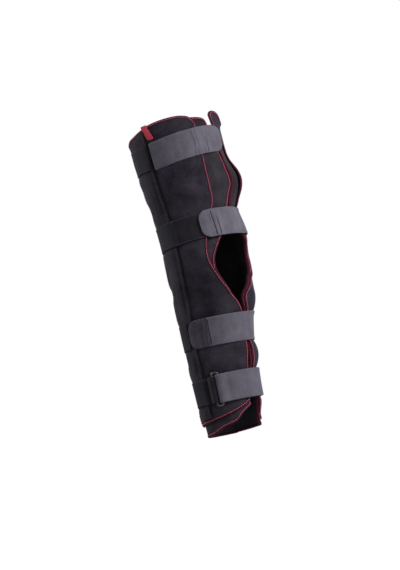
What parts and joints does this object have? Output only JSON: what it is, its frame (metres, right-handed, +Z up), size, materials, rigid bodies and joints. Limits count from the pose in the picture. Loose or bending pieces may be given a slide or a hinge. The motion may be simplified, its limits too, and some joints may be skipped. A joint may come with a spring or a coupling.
{
  "type": "knee immobilizer",
  "caption": "Knee immobilizer for a right leg: padded wrap-round panels from thigh to calf, an open kneecap window, side stay pockets and hook straps.",
  "frame": {"origin": "inside the knee, on the leg's axis, at the height of the kneecap window", "axes": "+Z up along the leg; -Y to the front; -X to the outer side of the right leg"},
  "size_m": [0.1726, 0.1689, 0.5658],
  "materials": {
    "padding": "knitted loop face over foam, matt",
    "panel": "brushed loop pile, matt",
    "pocket": "brushed loop pile, matt",
    "webbing": "brushed loop strap with woven selvedges",
    "band": "woven webbing, matt",
    "binding": "folded edge binding",
    "metal": "satin zinc",
    "label": "woven satin tape"
  },
  "bodies": {
    "root": {"lateral_liner": "padding", "medial_liner": "padding", "back_panel": "padding", "lateral_panel": "panel", "medial_panel": "panel", "lateral_stay_pocket": "pocket", "medial_stay_pocket": "pocket", "thigh_strap": "webbing", "above_knee_strap": "webbing", "below_knee_strap": "webbing", "calf_strap": "webbing", "ring_keeper": "band", "calf_ring": "metal", "thigh_band": "band", "above_knee_band": "band", "below_knee_band": "band", "calf_band": "band", "rim_label": "label"}
  },
  "joints": []
}
